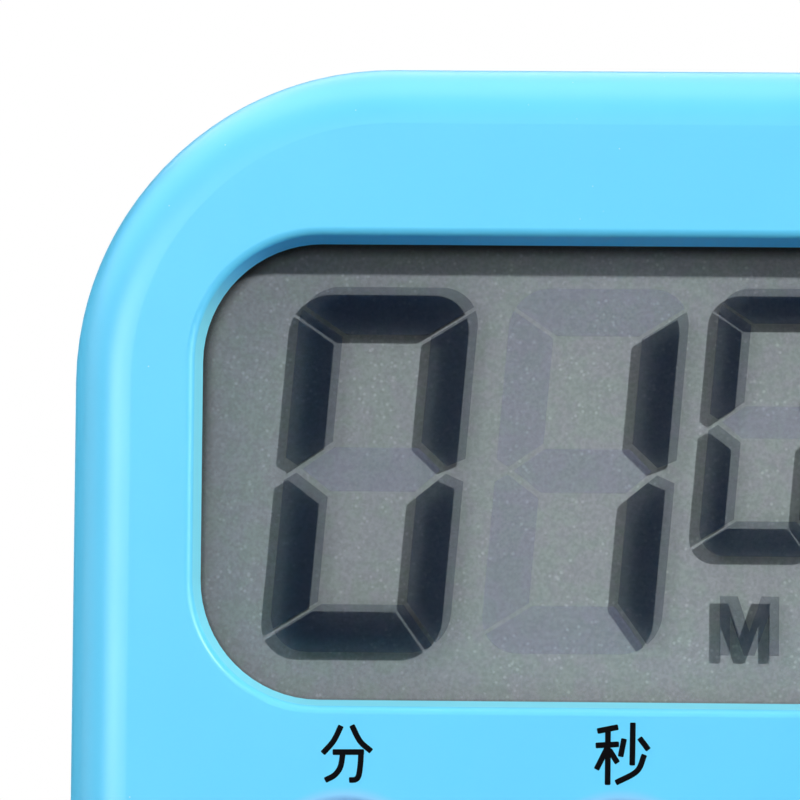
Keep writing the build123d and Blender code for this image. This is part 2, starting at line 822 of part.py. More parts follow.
def controller_blob():
    """Epoxy dome over the timer chip, on the back of the board."""
    rise = controller_height
    sphere_radius = (controller_radius ** 2 + rise ** 2) / (2 * rise)
    ball_y = depth_y(board_back + rise - sphere_radius)
    ball = Pos(controller_x, ball_y, board_middle_z) * Sphere(sphere_radius)
    keep = disc(controller_x, board_middle_z, controller_radius, board_back, board_back + rise)
    return keep & ball


def quartz_crystal():
    """Small metal can that lies on the board."""
    can = Rot(0, 90, 0) * Cylinder(crystal_radius, crystal_length)
    return Pos(crystal_x, depth_y(board_back + crystal_radius), board_middle_z) * can


def chip_components():
    """A row of small chip parts on the back of the board."""
    chips = []
    for index in range(chip_count):
        x = (index - (chip_count - 1) / 2) * chip_pitch
        chip = block(x - chip_width / 2, x + chip_width / 2, chip_top - chip_length, chip_top,
                     board_back, board_back + chip_height)
        chips.append(chip.solid())
    return Compound(children=chips)


def screw(x, z, radius, head_radius, head_height, length, seat):
    """A cross-headed screw whose head sits on a seat and whose shank points to the face."""
    body = disc(x, z, head_radius, seat, seat + head_height)
    body = fillet(edges_at_depth(body, seat + head_height), head_height / 4)
    body += disc(x, z, radius, seat - length, seat)
    arm = head_radius * 0.6
    slot_floor = seat + head_height - screw_slot_depth
    for half_x, half_z in ((arm, screw_slot_width / 2), (screw_slot_width / 2, arm)):
        body -= block(x - half_x, x + half_x, z - half_z, z + half_z, slot_floor, seat + head_height)
    return body.solid()


def case_screws():
    """The four screws that hold the case together."""
    return Compound(children=[
        screw(x, z, screw_radius, screw_head_radius, screw_head_height, case_screw_length, screw_seat_depth)
        for x, z in case_screw_places
    ])


def board_screws():
    """The four screws that hold the board to the front moulding."""
    return Compound(children=[
        screw(x, z, board_screw_radius, board_head_radius, board_head_height, board_screw_length, board_back)
        for x, z in board_post_places
    ])


def aaa_cell():
    """Battery: a can with a nub on its positive end, lying along X."""
    half = cell_length / 2
    shoulder = half - cell_nub_height
    profile = Polyline(
        (-half, 0), (-half, cell_radius), (shoulder, cell_radius), (shoulder, cell_nub_radius),
        (half, cell_nub_radius), (half, 0), close=True,
    )
    cell = revolve(make_face(profile), axis=Axis.X)
    circles = cell.edges().filter_by(GeomType.CIRCLE)
    rims = circles.filter_by(lambda edge: edge.radius > (cell_radius + cell_nub_radius) / 2)
    cell = fillet(rims, cell_edge_radius)
    return Pos(cell_x, depth_y(cell_depth), cell_z) * cell


def battery_contact(side):
    """Folded sheet contact: back plate on the bay's end wall, tongue on the cell, tail through the wall."""
    wall = side * bay_half_length
    tip = cell_x + side * cell_length / 2
    low_depth = bay_inside + contact_end_gap
    high_depth = cell_depth + contact_back_width / 2
    half_back = contact_back_width / 2
    half_tongue = contact_tongue_width / 2
    inner = wall - side * contact_thickness
    outer_tip = tip + side * contact_thickness
    plate = block(min(wall, inner), max(wall, inner), cell_z - half_back, cell_z + half_back,
                  low_depth, high_depth)
    plate += block(min(tip, wall), max(tip, wall), cell_z - half_tongue, cell_z + half_tongue,
                   low_depth, low_depth + contact_thickness)
    plate += block(min(tip, outer_tip), max(tip, outer_tip), cell_z - half_tongue, cell_z + half_tongue,
                   low_depth, high_depth - contact_end_gap)
    tail_low = cell_z - opening_half_height - bay_wall - contact_tail_length
    plate += block(min(wall, inner), max(wall, inner), tail_low, cell_z,
                   cell_depth - contact_tail_width / 2, cell_depth + contact_tail_width / 2)
    return plate


def wire(points):
    """A round wire along straight runs with the largest arcs that its runs allow; prints the radii."""
    corners = [Vector(*point) for point in points]
    radii = []
    for before, corner, after in zip(corners, corners[1:], corners[2:]):
        turn = math.radians((corner - before).get_angle(after - corner))
        shorter = min((corner - before).length, (after - corner).length)
        radii.append(0.45 * shorter / math.tan(turn / 2))
    path = FilletPolyline(*corners, radius=radii)
    section = Plane(origin=corners[0], z_dir=corners[1] - corners[0]) * Circle(wire_radius)
    tube = sweep(section, path=path)
    expected = math.pi * wire_radius ** 2 * path.length
    print("wire radii", [round(radius, 2) for radius in radii])
    print("wire volume over section times length", round(tube.volume / expected, 4))
    return tube.solid()


def battery_wires():
    """Two leads from the contact tails down to the board."""
    wires = []
    for side in (-1, 1):
        x = side * (bay_half_length - contact_thickness / 2)
        top = cell_z - opening_half_height - bay_wall - contact_tail_length
        pad_x = side * outer_post_x
        pad_z = board_top - board_above_zebra
        drop = top - pad_z
        wires.append(wire((
            (x, depth_y(cell_depth), top),
            (x, depth_y(cell_depth), top - 0.3 * drop),
            (pad_x, depth_y(cell_depth - 0.5), pad_z + 0.35 * drop),
            (pad_x, depth_y(cell_depth - 1.5), pad_z),
            (pad_x, depth_y(board_back), pad_z),
        )))
    return Compound(children=wires)


def buzzer_wires():
    """Two leads from the sounder to the board."""
    wires = []
    rim_x = (buzzer_radius + buzzer_ceramic_radius) / 2
    ceramic_face = buzzer_face - buzzer_thickness - buzzer_ceramic_thickness
    starts = ((-rim_x, buzzer_face - buzzer_thickness), (buzzer_ceramic_radius / 2, ceramic_face))
    for (x, start), pad_x in zip(starts, (-key_pitch / 2 - 3.0, key_pitch / 2 - 2.0)):
        reach = start - board_back
        wires.append(wire((
            (x, depth_y(start), buzzer_height),
            (x, depth_y(start - 0.3 * reach), buzzer_height),
            (pad_x, depth_y(board_back + 0.3 * reach), board_top - 1.5),
            (pad_x, depth_y(board_back), board_top - 1.5),
        )))
    return Compound(children=wires)


def magnets():
    """Two round magnets let into the back."""
    discs = []
    for x in (-magnet_x, magnet_x):
        pad = disc(x, magnet_height, magnet_radius, case_depth - magnet_thickness, case_depth)
        pad = chamfer(edges_at_depth(pad, case_depth), magnet_clearance * 2)
        discs.append(pad.solid())
    return Compound(children=discs)


pieces = {
    "front_shell": front_shell(),
    "rear_cover": rear_cover(),
    "battery_door": battery_door(),
    "stand": stand(),
    "minute_key": key_cap(key_xs[0]),
    "second_key": key_cap(key_xs[1]),
    "start_stop_key": key_cap(key_xs[2]),
    "minute_contact_pill": contact_pill(key_xs[0]),
    "second_contact_pill": contact_pill(key_xs[1]),
    "start_stop_contact_pill": contact_pill(key_xs[2]),
    "rubber_keypad": rubber_keypad(),
    "lcd_front_polariser": glass_plate(glass_bottom, display_face, front_glass_face),
    "lcd_front_glass": glass_plate(ledge_bottom, front_glass_face, crystal_face),
    "lcd_segments_on": lcd_segments(True),
    "lcd_segments_off": lcd_segments(False),
    "lcd_cell_seal": lcd_cell_seal(),
    "lcd_rear_glass": glass_plate(glass_bottom, rear_glass_face, reflector_face),
    "lcd_reflector": glass_plate(glass_bottom, reflector_face, reflector_back),
    "lcd_backing_foam": lcd_backing_foam(),
    "zebra_connector": zebra_connector(),
    "circuit_board": circuit_board(),
    "controller_blob": controller_blob(),
    "quartz_crystal": quartz_crystal(),
    "chip_components": chip_components(),
    "board_screws": board_screws(),
    "case_screws": case_screws(),
    "aaa_cell": aaa_cell(),
    "battery_contact_positive": battery_contact(1),
    "battery_contact_negative": battery_contact(-1),
    "battery_wires": battery_wires(),
    "buzzer_disc": disc(0, buzzer_height, buzzer_radius, buzzer_face - buzzer_thickness, buzzer_face),
    "buzzer_ceramic": disc(0, buzzer_height, buzzer_ceramic_radius,
                           buzzer_face - buzzer_thickness - buzzer_ceramic_thickness,
                           buzzer_face - buzzer_thickness),
    "buzzer_wires": buzzer_wires(),
    "magnets": magnets(),
}

os.makedirs("parts", exist_ok=True)
for name, piece in pieces.items():
    export_step(piece, f"parts/{name}.step")
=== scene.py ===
"""Digital kitchen timer: looks, printed marks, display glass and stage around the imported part.

Lengths are metres in the scene; sizes named in millimetres are multiplied by MM. +Z is up, the
face looks towards -Y, and every piece is drawn in place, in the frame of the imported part.
"""

import math

import bmesh
import bpy
import numpy as np
from mathutils import Matrix, Vector


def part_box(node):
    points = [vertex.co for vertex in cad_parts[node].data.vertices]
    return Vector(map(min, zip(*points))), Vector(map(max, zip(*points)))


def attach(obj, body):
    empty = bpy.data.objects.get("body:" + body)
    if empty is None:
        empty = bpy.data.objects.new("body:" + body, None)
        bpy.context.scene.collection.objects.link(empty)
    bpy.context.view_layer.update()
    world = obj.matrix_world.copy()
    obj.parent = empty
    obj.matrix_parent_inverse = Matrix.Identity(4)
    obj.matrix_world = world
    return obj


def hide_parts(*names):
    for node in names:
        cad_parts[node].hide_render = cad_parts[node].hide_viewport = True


bl_info = {
    "name": "Kitchen timer",
    "version": (1, 0, 0),
    "blender": (4, 5, 0),
    "location": "3D View > Sidebar > Timer",
    "description": "Dresses the packed kitchen timer: printed marks, display, finishes and stage",
    "category": "Object",
}

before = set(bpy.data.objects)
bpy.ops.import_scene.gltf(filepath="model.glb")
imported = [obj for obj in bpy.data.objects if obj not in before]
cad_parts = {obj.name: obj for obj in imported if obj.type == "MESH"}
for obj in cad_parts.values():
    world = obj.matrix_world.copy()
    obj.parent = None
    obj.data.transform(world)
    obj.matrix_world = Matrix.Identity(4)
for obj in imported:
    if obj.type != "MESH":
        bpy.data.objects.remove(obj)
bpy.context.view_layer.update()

MM = 0.001
KEYS = ("minute_key", "second_key", "start_stop_key")

# The flat face is the front of the shell, and the keys stand proud of it
case_low, case_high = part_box("front_shell")
FACE_Y = case_low.y
glass_low, glass_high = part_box("lcd_front_glass")
film_low, film_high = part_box("lcd_segments_on")

# The window's foot, as the eye sees it on the reflector: the front film less its hidden margin
WINDOW_MARGIN = Vector((0.75, 0.0, 0.75)) * MM
WINDOW_RADIUS = 7.0 * MM
polariser_low, polariser_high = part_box("lcd_front_polariser")
window_low = polariser_low + WINDOW_MARGIN
window_high = polariser_high - WINDOW_MARGIN

# Where the painted light of the window's wall sets in, inwards from the foot and behind the face, and how
# far below the window's top it turns to the deeper blue of painted shade
WALL_INWARDS = (-1.6 * MM, -0.9 * MM)
WALL_BEHIND = (FACE_Y + 0.1 * MM, FACE_Y + 0.5 * MM)
LINTEL_REACH = 5.0 * MM

# Edge of the display: a soft painted shade that grows towards the top, and a thin line of painted shade
# all round
PAINTED_EDGE_SHADE = (-0.1 * MM, 0.8 * MM)
PAINTED_EDGE_LINE = (0.0, 0.28 * MM)

# Painted reflection of a pale key on the face around it: from the key's middle, where it is full and where
# gone
PAINTED_KEY_SHINE = (5.3 * MM, 6.2 * MM)

# Metal at each end of the battery
CELL_END = 1.1 * MM


# Settings

class TimerCase(bpy.types.PropertyGroup):
    """Colours of the mouldings, the painted light and shade of the window's walls and the painted key
    shine, and how polished they are.
    """
    case_colour: bpy.props.FloatVectorProperty(
        name="Case colour", description="Plastic of the shell, cover, door and stand",
        default=(0.112, 0.61, 0.94), size=3, subtype="COLOR", min=0.0, max=1.0)
    key_colour: bpy.props.FloatVectorProperty(
        name="Key colour", description="Plastic of the three key caps",
        default=(0.70, 0.74, 0.86), size=3, subtype="COLOR", min=0.0, max=1.0)
    # Painted light on the window's lower and side walls
    painted_wall_light: bpy.props.FloatVectorProperty(
        name="Window wall", description="Plastic of the window's lit walls, where light comes through",
        default=(0.23, 0.81, 1.0), size=3, subtype="COLOR", min=0.0, max=1.0)
    # Painted shade on the window's upper wall
    painted_lintel_shade: bpy.props.FloatVectorProperty(
        name="Window top", description="Plastic of the window's upper wall, which lies in its own shade",
        default=(0.045, 0.47, 0.95), size=3, subtype="COLOR", min=0.0, max=1.0)
    # Painted reflection of the pale keys on the face around their holes
    painted_key_shine_colour: bpy.props.FloatVectorProperty(
        name="Key rim", description="Plastic around a key hole, where the pale key shines back",
        default=(0.25, 0.56, 0.86), size=3, subtype="COLOR", min=0.0, max=1.0)
    gloss_roughness: bpy.props.FloatProperty(
        name="Front roughness", description="Roughness of the polished front shell",
        default=0.35, min=0.0, max=1.0, subtype="FACTOR")
    matt_roughness: bpy.props.FloatProperty(
        name="Back roughness", description="Roughness of the grained back mouldings",
        default=0.42, min=0.0, max=1.0, subtype="FACTOR")


class TimerDisplay(bpy.types.PropertyGroup):
    """Tones of the liquid-crystal display."""
    reflector_colour: bpy.props.FloatVectorProperty(
        name="Reflector", description="Grey of the reflector behind the glass",
        default=(0.228, 0.260, 0.266), size=3, subtype="COLOR", min=0.0, max=1.0)
    ghost_colour: bpy.props.FloatVectorProperty(
        name="Unlit segments", description="Tone of the faint film of the segments that are switched off",
        default=(0.125, 0.136, 0.285), size=3, subtype="COLOR", min=0.0, max=1.0)
    film_colour: bpy.props.FloatVectorProperty(
        name="Lit segments", description="Tone of the segments that are switched on",
        default=(0.010, 0.030, 0.080), size=3, subtype="COLOR", min=0.0, max=1.0)
    film_density: bpy.props.FloatProperty(
        name="Film density", description="Share of light that one face of a lit segment stops",
        default=0.225, min=0.0, max=1.0, subtype="FACTOR")
    ghost_density: bpy.props.FloatProperty(
        name="Unlit density", description="Share of light that one face of an unlit segment stops",
        default=0.1, min=0.0, max=1.0, subtype="FACTOR")
    haze: bpy.props.FloatProperty(
        name="Haze", description="Share of the matt front film that hides the display",
        default=0.008, min=0.0, max=1.0, subtype="FACTOR")
    mark_size: bpy.props.FloatProperty(
        name="Mark height", description="Height of the unit letters under the small digits",
        default=3.49 * MM, unit="LENGTH")
    mark_stroke: bpy.props.FloatProperty(
        name="Mark stroke", description="Stroke width of the unit letters",
        default=0.60 * MM, unit="LENGTH")
    mark_x: bpy.props.FloatProperty(
        name="First mark", description="Middle of the first unit letter, from the middle of the case",
        default=7.44 * MM, unit="LENGTH")
    mark_pitch: bpy.props.FloatProperty(
        name="Mark pitch", description="Distance between the unit letters",
        default=9.13 * MM, unit="LENGTH")


class TimerLegends(bpy.types.PropertyGroup):
    """Ink marks printed on the face above the keys."""
    stroke: bpy.props.FloatProperty(
        name="Stroke", description="Width of a printed stroke", default=0.34 * MM, unit="LENGTH")
    ink_height: bpy.props.FloatProperty(
        name="Ink height", description="How far the ink stands off the face",
        default=0.02 * MM, unit="LENGTH")
    rise: bpy.props.FloatProperty(
        name="Rise", description="Middle of a legend above the middle of its key",
        default=8.04 * MM, unit="LENGTH")
    ink_colour: bpy.props.FloatVectorProperty(
        name="Ink colour", description="Black printing ink",
        default=(0.002, 0.0018, 0.0022), size=3, subtype="COLOR", min=0.0, max=1.0)


class TimerStage(bpy.types.PropertyGroup):
    """Camera, lights and floor."""
    eye: bpy.props.FloatVectorProperty(
        name="Camera", description="Camera place in front of the face",
        default=(0.0, -0.4088, 0.020), size=3, subtype="TRANSLATION", unit="LENGTH")
    target: bpy.props.FloatVectorProperty(
        name="Target", description="Point of the face in the middle of the picture",
        default=(-0.01317, -0.0088, 0.04519), size=3, subtype="TRANSLATION", unit="LENGTH")
    roll: bpy.props.FloatProperty(
        name="Roll", description="Turn of the camera about its own axis",
        default=math.radians(0.553), subtype="ANGLE")
    lens: bpy.props.FloatProperty(
        name="Lens", description="Focal length in millimetres on a 36 mm sensor",
        default=307.7, min=1.0)
    sun_strength: bpy.props.FloatProperty(
        name="Sun", description="Strength of the hard key light", default=2.52, min=0.0)
    sun_side: bpy.props.FloatProperty(
        name="Sun side", description="How far the key light stands to the right, per unit in front",
        default=0.77)
    sun_rise: bpy.props.FloatProperty(
        name="Sun rise", description="How far the key light stands above, per unit in front",
        default=0.57)
    ambient: bpy.props.FloatProperty(
        name="Ambient", description="Even light from the white surroundings", default=0.03, min=0.0)
    floor_radius: bpy.props.FloatProperty(
        name="Floor radius", description="Radius of the white floor", default=0.38, unit="LENGTH")


# Shader expressions

class Socket:
    """A node output that takes part in arithmetic: each operator adds one Math node."""

    def __init__(self, graph, output):
        self.graph = graph
        self.output = output

    def math(self, operation, first, second):
        return self.graph.node("ShaderNodeMath", {"operation": operation}, {0: first, 1: second})

    def __add__(self, other):
        return self.math("ADD", self, other)

    def __radd__(self, other):
        return self.math("ADD", other, self)

    def __sub__(self, other):
        return self.math("SUBTRACT", self, other)

    def __rsub__(self, other):
        return self.math("SUBTRACT", other, self)

    def __mul__(self, other):
        return self.math("MULTIPLY", self, other)

    def __rmul__(self, other):
        return self.math("MULTIPLY", other, self)

    def __lt__(self, other):
        return self.math("LESS_THAN", self, other)

    def __gt__(self, other):
        return self.math("GREATER_THAN", self, other)

    def larger(self, other):
        return self.math("MAXIMUM", self, other)

    def smaller(self, other):
        return self.math("MINIMUM", self, other)

    def absolute(self):
        return self.math("ABSOLUTE", self, 0.0)

    def root(self):
        return self.math("SQRT", self, 0.0)


class Graph:
    """A node tree that is filled by expressions."""

    def __init__(self, tree):
        self.tree = tree
        tree.nodes.clear()

    def node(self, kind, settings=None, inputs=None, output=0):
        """A new node of a type, with its settings, then its socket values or links."""
        made = self.tree.nodes.new(kind)
        for name, value in (settings or {}).items():
            setattr(made, name, value)
        for key, value in (inputs or {}).items():
            if isinstance(value, Socket):
                self.tree.links.new(value.output, made.inputs[key])
            else:
                made.inputs[key].default_value = value
        if made.outputs:
            return Socket(self, made.outputs[output])
        return None

    def place(self, stretch=(1.0, 1.0, 1.0)):
        """Object coordinates in millimetres, stretched along the axes."""
        place = self.node("ShaderNodeTexCoord", output="Object")
        scale = tuple(value / MM for value in stretch)
        return self.node("ShaderNodeVectorMath", {"operation": "MULTIPLY"}, {0: place, 1: scale})

    def noise(self, grain, detail=2.0, stretch=(1.0, 1.0, 1.0)):
        """Smooth noise from 0 to 1 whose features are about as large as the grain."""
        return self.node("ShaderNodeTexNoise", None, {
            "Vector": self.place(stretch), "Scale": 1.0 / grain, "Detail": detail}, "Fac")

    def grains(self, scale):
        """Distance from the nearest of scattered points, which lie closer at a higher scale."""
        return self.node("ShaderNodeTexVoronoi", None, {"Vector": self.place(), "Scale": scale})

    def mix(self, factor, first, second, blend="MIX"):
        """Colour between two colours, or the first one blended with the second in another way."""
        return self.node("ShaderNodeMix", {"data_type": "RGBA", "blend_type": blend}, {
            0: factor, 6: colour4(first), 7: colour4(second)}, 2)

    def ease(self, value, low, high):
        """0 below a low value, 1 above a high one, and a smooth step between."""
        return self.node("ShaderNodeMapRange", {"interpolation_type": "SMOOTHSTEP"}, {
            "Value": value, "From Min": low, "From Max": high})

    def axis(self, name):
        """Object coordinate along an axis, in metres."""
        place = self.node("ShaderNodeTexCoord", output="Object")
        return self.node("ShaderNodeSeparateXYZ", None, {0: place}, name)

    def bump(self, height, depth):
        """A normal for a surface that rises by a depth where the height is 1."""
        return self.node("ShaderNodeBump", None, {"Height": height, "Distance": depth})

    def ray(self, kind):
        """1 for light-path rays of a kind."""
        return self.node("ShaderNodeLightPath", output=kind)

    def surface(self, inputs):
        """The finished surface."""
        shader = self.node("ShaderNodeBsdfPrincipled", None, inputs)
        self.node("ShaderNodeOutputMaterial", None, {"Surface": shader})


def colour4(colour):
    """A colour with a full alpha, or a link left as it is."""
    if isinstance(colour, Socket):
        return colour
    return (*colour[:3], 1.0)


def shade(colour, factor):
    """A colour made darker or lighter, kept under 1."""
    return tuple(min(value * factor, 1.0) for value in colour[:3])


def new_graph(name):
    """A new material and its empty node graph."""
    material = bpy.data.materials.new(name)
    material.use_nodes = True
    return material, Graph(material.node_tree)


# Materials

def window_inwards(graph):
    """Distance inwards from the outline of the window's foot, below 0 outside it.

    The distance inwards from a rounded rectangle is its corner radius less the reach of a point
    beyond the square that the corners are centred on.
    """
    rise = graph.axis("Z") - (window_low.z + window_high.z) / 2
    past_x = graph.axis("X").absolute() - (window_high.x - WINDOW_RADIUS)
    past_z = rise.absolute() - ((window_high.z - window_low.z) / 2 - WINDOW_RADIUS)
    beyond_x = past_x.larger(0.0)
    beyond_z = past_z.larger(0.0)
    reach = (beyond_x * beyond_x + beyond_z * beyond_z).root()
    return WINDOW_RADIUS - reach - past_x.larger(past_z).smaller(0.0)


def key_distance(graph):
    """Distance over the face from the middle of the nearest key."""
    x = graph.axis("X")
    z = graph.axis("Z")
    nearest = None
    for key in KEYS:
        low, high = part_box(key)
        across_key = x - (low.x + high.x) / 2
        up_key = z - (low.z + high.z) / 2
        distance = (across_key * across_key + up_key * up_key).root()
        nearest = distance if nearest is None else nearest.smaller(distance)
    return nearest


def case_gloss(settings):
    """Polished blue plastic: faint mottle, a slight orange peel and a few specks of dust.

    The window's walls get painted light, paler than the face where light falls into them, and painted
    shade in deeper blue at the top; a paler ring around each key is a painted reflection of the key.
    """
    material, graph = new_graph("case_gloss")
    mottle = graph.noise(7.0)
    base = graph.mix(mottle, shade(settings.case_colour, 0.97), shade(settings.case_colour, 1.03))
    # Painted light on the window's walls, turning to painted shade towards the top
    inside = graph.ease(window_inwards(graph), *WALL_INWARDS)
    wall = inside * graph.ease(graph.axis("Y"), *WALL_BEHIND)
    top = graph.ease(graph.axis("Z"), window_high.z - LINTEL_REACH, window_high.z)
    glow = graph.mix(top, settings.painted_wall_light, settings.painted_lintel_shade)
    base = graph.mix(wall, base, glow)
    # Painted reflection of the pale key in a ring around each key
    rim = 1.0 - graph.ease(key_distance(graph), *PAINTED_KEY_SHINE)
    base = graph.mix(rim, base, settings.painted_key_shine_colour)
    dust_chance = graph.noise(1.3, 0.0)
    dust = (graph.grains(0.9) < 0.04) * (dust_chance > 0.6)
    dust_colour = (0.93, 0.95, 0.97)
    base = graph.mix(dust * 0.3, base, dust_colour)
    peel = graph.noise(1.1, 1.0)
    smear = graph.noise(4.0, 3.0)
    graph.surface({
        "Base Color": base,
        "Roughness": settings.gloss_roughness - 0.04 + 0.08 * smear + 0.3 * dust,
        "Specular IOR Level": 0.35,
        "Normal": graph.bump(peel, 0.004 * MM)})
    return material


def case_matt(settings):
    """The same plastic with a fine moulded grain, for the back."""
    material, graph = new_graph("case_matt")
    mottle = graph.noise(9.0)
    base = graph.mix(mottle, shade(settings.case_colour, 0.92), shade(settings.case_colour, 1.0))
    grain = graph.noise(0.16, 1.0)
    graph.surface({
        "Base Color": base,
        "Roughness": settings.matt_roughness - 0.06 + 0.12 * grain,
        "Normal": graph.bump(grain, 0.012 * MM)})
    return material


def key_plastic(settings):
    """Pale satin plastic of the key caps, a little worn in patches."""
    material, graph = new_graph("key_plastic")
    wear = graph.noise(2.6, 3.0)
    base = graph.mix(wear, shade(settings.key_colour, 0.95), shade(settings.key_colour, 1.04))
    grain = graph.noise(0.2, 1.0)
    graph.surface({
        "Base Color": base,
        "Roughness": 0.28 + 0.14 * wear,
        "Normal": graph.bump(grain, 0.004 * MM)})
    return material


def display_grey(settings):
    """Speckled grey of the reflector: soft grain, a few bright grains, faint violet and green clouds.

    Painted shade darkens it towards the left, under the window's upper edge and in a thin line along
    all its edges, and painted light brightens it towards the right.
    """
    material, graph = new_graph("display_reflector")
    colour = settings.reflector_colour
    grain = graph.ease(graph.noise(0.2, 2.0), 0.3, 0.7)
    base = graph.mix(grain, shade(colour, 0.91), shade(colour, 1.08))
    patches = graph.ease(graph.noise(1.4, 1.0), 0.42, 0.62)
    bright = (1.0 - graph.ease(graph.grains(2.4), 0.1, 0.34)) * patches
    base = graph.mix(0.7 * bright, base, shade(colour, 1.45))
    cloud = graph.ease(graph.noise(1.1, 2.0), 0.35, 0.65)
    violet = (1.025, 0.98, 1.03)
    green = (0.98, 1.015, 0.98)
    base = graph.mix(1.0, base, graph.mix(cloud, violet, green), "MULTIPLY")
    # Painted shade towards the left and painted light towards the right
    side = graph.ease(graph.axis("X"), window_low.x - 2.0 * MM, 2.0 * MM)
    painted_left_shade = (0.88, 0.885, 0.895)
    painted_right_light = (1.12, 1.11, 1.11)
    base = graph.mix(1.0, base, graph.mix(side, painted_left_shade, painted_right_light), "MULTIPLY")
    # Painted shade under the window's upper edge and in a thin line along all its edges
    inwards = window_inwards(graph)
    height = graph.ease(graph.axis("Z"), window_low.z, window_high.z)
    edge = (1.0 - graph.ease(inwards, *PAINTED_EDGE_SHADE)) * height
    line = 1.0 - graph.ease(inwards, *PAINTED_EDGE_LINE)
    lit = (1.0 - 0.9 * edge) * (1.0 - 0.45 * line)
    graph.surface({
        "Base Color": graph.mix(lit, shade(colour, 0.1), base),
        "Roughness": 0.62 + 0.1 * grain,
        "Specular IOR Level": 0.0})
    return material


def display_ghost(settings):
    """Unlit segment: a faint blue film that casts no shadow."""
    material, graph = new_graph("display_ghost")
    mottle = graph.noise(0.3, 2.0)
    base = graph.mix(mottle, shade(settings.ghost_colour, 0.9), shade(settings.ghost_colour, 1.1))
    graph.surface({
        "Base Color": base,
        "Roughness": 0.5 + 0.1 * mottle,
        "Specular IOR Level": 0.0,
        "Alpha": settings.ghost_density * graph.ray("Is Camera Ray")})
    return material


def display_film(settings):
    """Lit segment: a blue-black film that the eye sees through a little and light does not."""
    material, graph = new_graph("display_film")
    mottle = graph.noise(0.3, 2.0)
    base = graph.mix(mottle, shade(settings.film_colour, 0.8), shade(settings.film_colour, 1.2))
    seen = graph.ray("Is Camera Ray")
    graph.surface({
        "Base Color": base,
        "Roughness": 0.5 + 0.1 * mottle,
        "Specular IOR Level": 0.0,
        "Alpha": 1.0 - (1.0 - settings.film_density) * seen})
    return material


def display_clear(settings):
    """Clear plates under a matt film, seen as a faint haze."""
    material, graph = new_graph("display_clear")
    grain = graph.noise(0.12, 1.0)
    base = graph.mix(grain, (0.62, 0.66, 0.68), (0.80, 0.82, 0.84))
    graph.surface({
        "Base Color": base,
        "Roughness": 0.42 + 0.1 * grain,
        "Alpha": settings.haze * graph.ray("Is Camera Ray")})
    return material


def printing_ink(settings):
    """Black ink with an uneven gloss."""
    material, graph = new_graph("printing_ink")
    uneven = graph.noise(0.15, 2.0)
    base = graph.mix(uneven, shade(settings.ink_colour, 0.7), shade(settings.ink_colour, 1.6))
    graph.surface({
        "Base Color": base,
        "Roughness": 0.5 + 0.2 * uneven,
        "Specular IOR Level": 0.02})
    return material


def mottled(name, dark, light, grain, roughness, metallic=0.0, relief=0.0, stretch=(1.0, 1.0, 1.0)):
    """A plain finish between two tones, with roughness and relief from the same grain."""
    material, graph = new_graph(name)
    cloud = graph.noise(grain, 3.0, stretch)
    fine = graph.noise(grain * 0.2, 2.0, stretch)
    inputs = {
        "Base Color": graph.mix(cloud, dark, light),
        "Roughness": roughness - 0.07 + 0.14 * fine,
        "Metallic": metallic}
    if relief > 0.0:
        inputs["Normal"] = graph.bump(fine, relief * MM)
    graph.surface(inputs)
    return material


def board_laminate():
    """Green board: woven glass under the varnish and copper tracks that show through."""
    material, graph = new_graph("board_laminate")
    track_green = (0.06, 0.26, 0.09)
    weave = graph.node("ShaderNodeTexBrick", {"offset": 0.5}, {
        "Vector": graph.place(), "Scale": 1.0, "Color1": (0.012, 0.10, 0.045, 1.0),
        "Color2": (0.016, 0.13, 0.055, 1.0), "Mortar": (0.03, 0.19, 0.085, 1.0),
        "Mortar Size": 0.06, "Brick Width": 2.4, "Row Height": 1.1})
    track = graph.noise(2.2, 0.0, (1.0, 1.0, 0.35))
    lines = graph.ease(track, 0.55, 0.57)
    graph.surface({
        "Base Color": graph.mix(lines * 0.6, weave, track_green),
        "Roughness": 0.34 + 0.12 * graph.noise(0.6)})
    return material


def cell_jacket():
    """Battery: two-tone foil jacket between bright metal ends."""
    material, graph = new_graph("cell_jacket")
    low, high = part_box("aaa_cell")
    along = graph.axis("X")
    length = high.x - low.x
    band = graph.ease(along, low.x + 0.27 * length, low.x + 0.275 * length)
    line = graph.ease(along, low.x + 0.29 * length, low.x + 0.292 * length)
    foil = graph.noise(1.2, 2.0, (0.2, 1.0, 1.0))
    gold = graph.mix(foil, (0.58, 0.36, 0.12), (0.74, 0.50, 0.20))
    black = graph.mix(foil, (0.012, 0.013, 0.016), (0.03, 0.03, 0.035))
    silver = (0.75, 0.75, 0.76)
    jacket = graph.mix(band, black, silver)
    jacket = graph.mix(line, jacket, gold)
    metal = (along < low.x + CELL_END) + (along > high.x - CELL_END)
    steel = graph.mix(foil, (0.52, 0.52, 0.53), (0.68, 0.68, 0.69))
    graph.surface({
        "Base Color": graph.mix(metal, jacket, steel),
        "Metallic": 0.25 + 0.7 * metal,
        "Roughness": 0.3 + 0.12 * foil})
    return material


# Surfaces

def grid_faces(rows, columns, start=0):
    """Quads between the rows of a grid whose columns close on themselves."""
    row, column = np.meshgrid(np.arange(rows - 1), np.arange(columns), indexing="ij")
    after = (column + 1) % columns
    quads = np.stack([
        row * columns + column, row * columns + after,
        (row + 1) * columns + after, (row + 1) * columns + column], axis=-1)
    return (quads.reshape(-1, 4) + start).tolist()


def tube(points, start=0):
    """Vertices and faces of rings of points, closed by flat ends."""
    rows, columns = points.shape[:2]
    faces = grid_faces(rows, columns, start)
    faces.append((np.arange(columns)[::-1] + start).tolist())
    faces.append((np.arange(columns) + start + (rows - 1) * columns).tolist())
    return points.reshape(-1, 3), faces


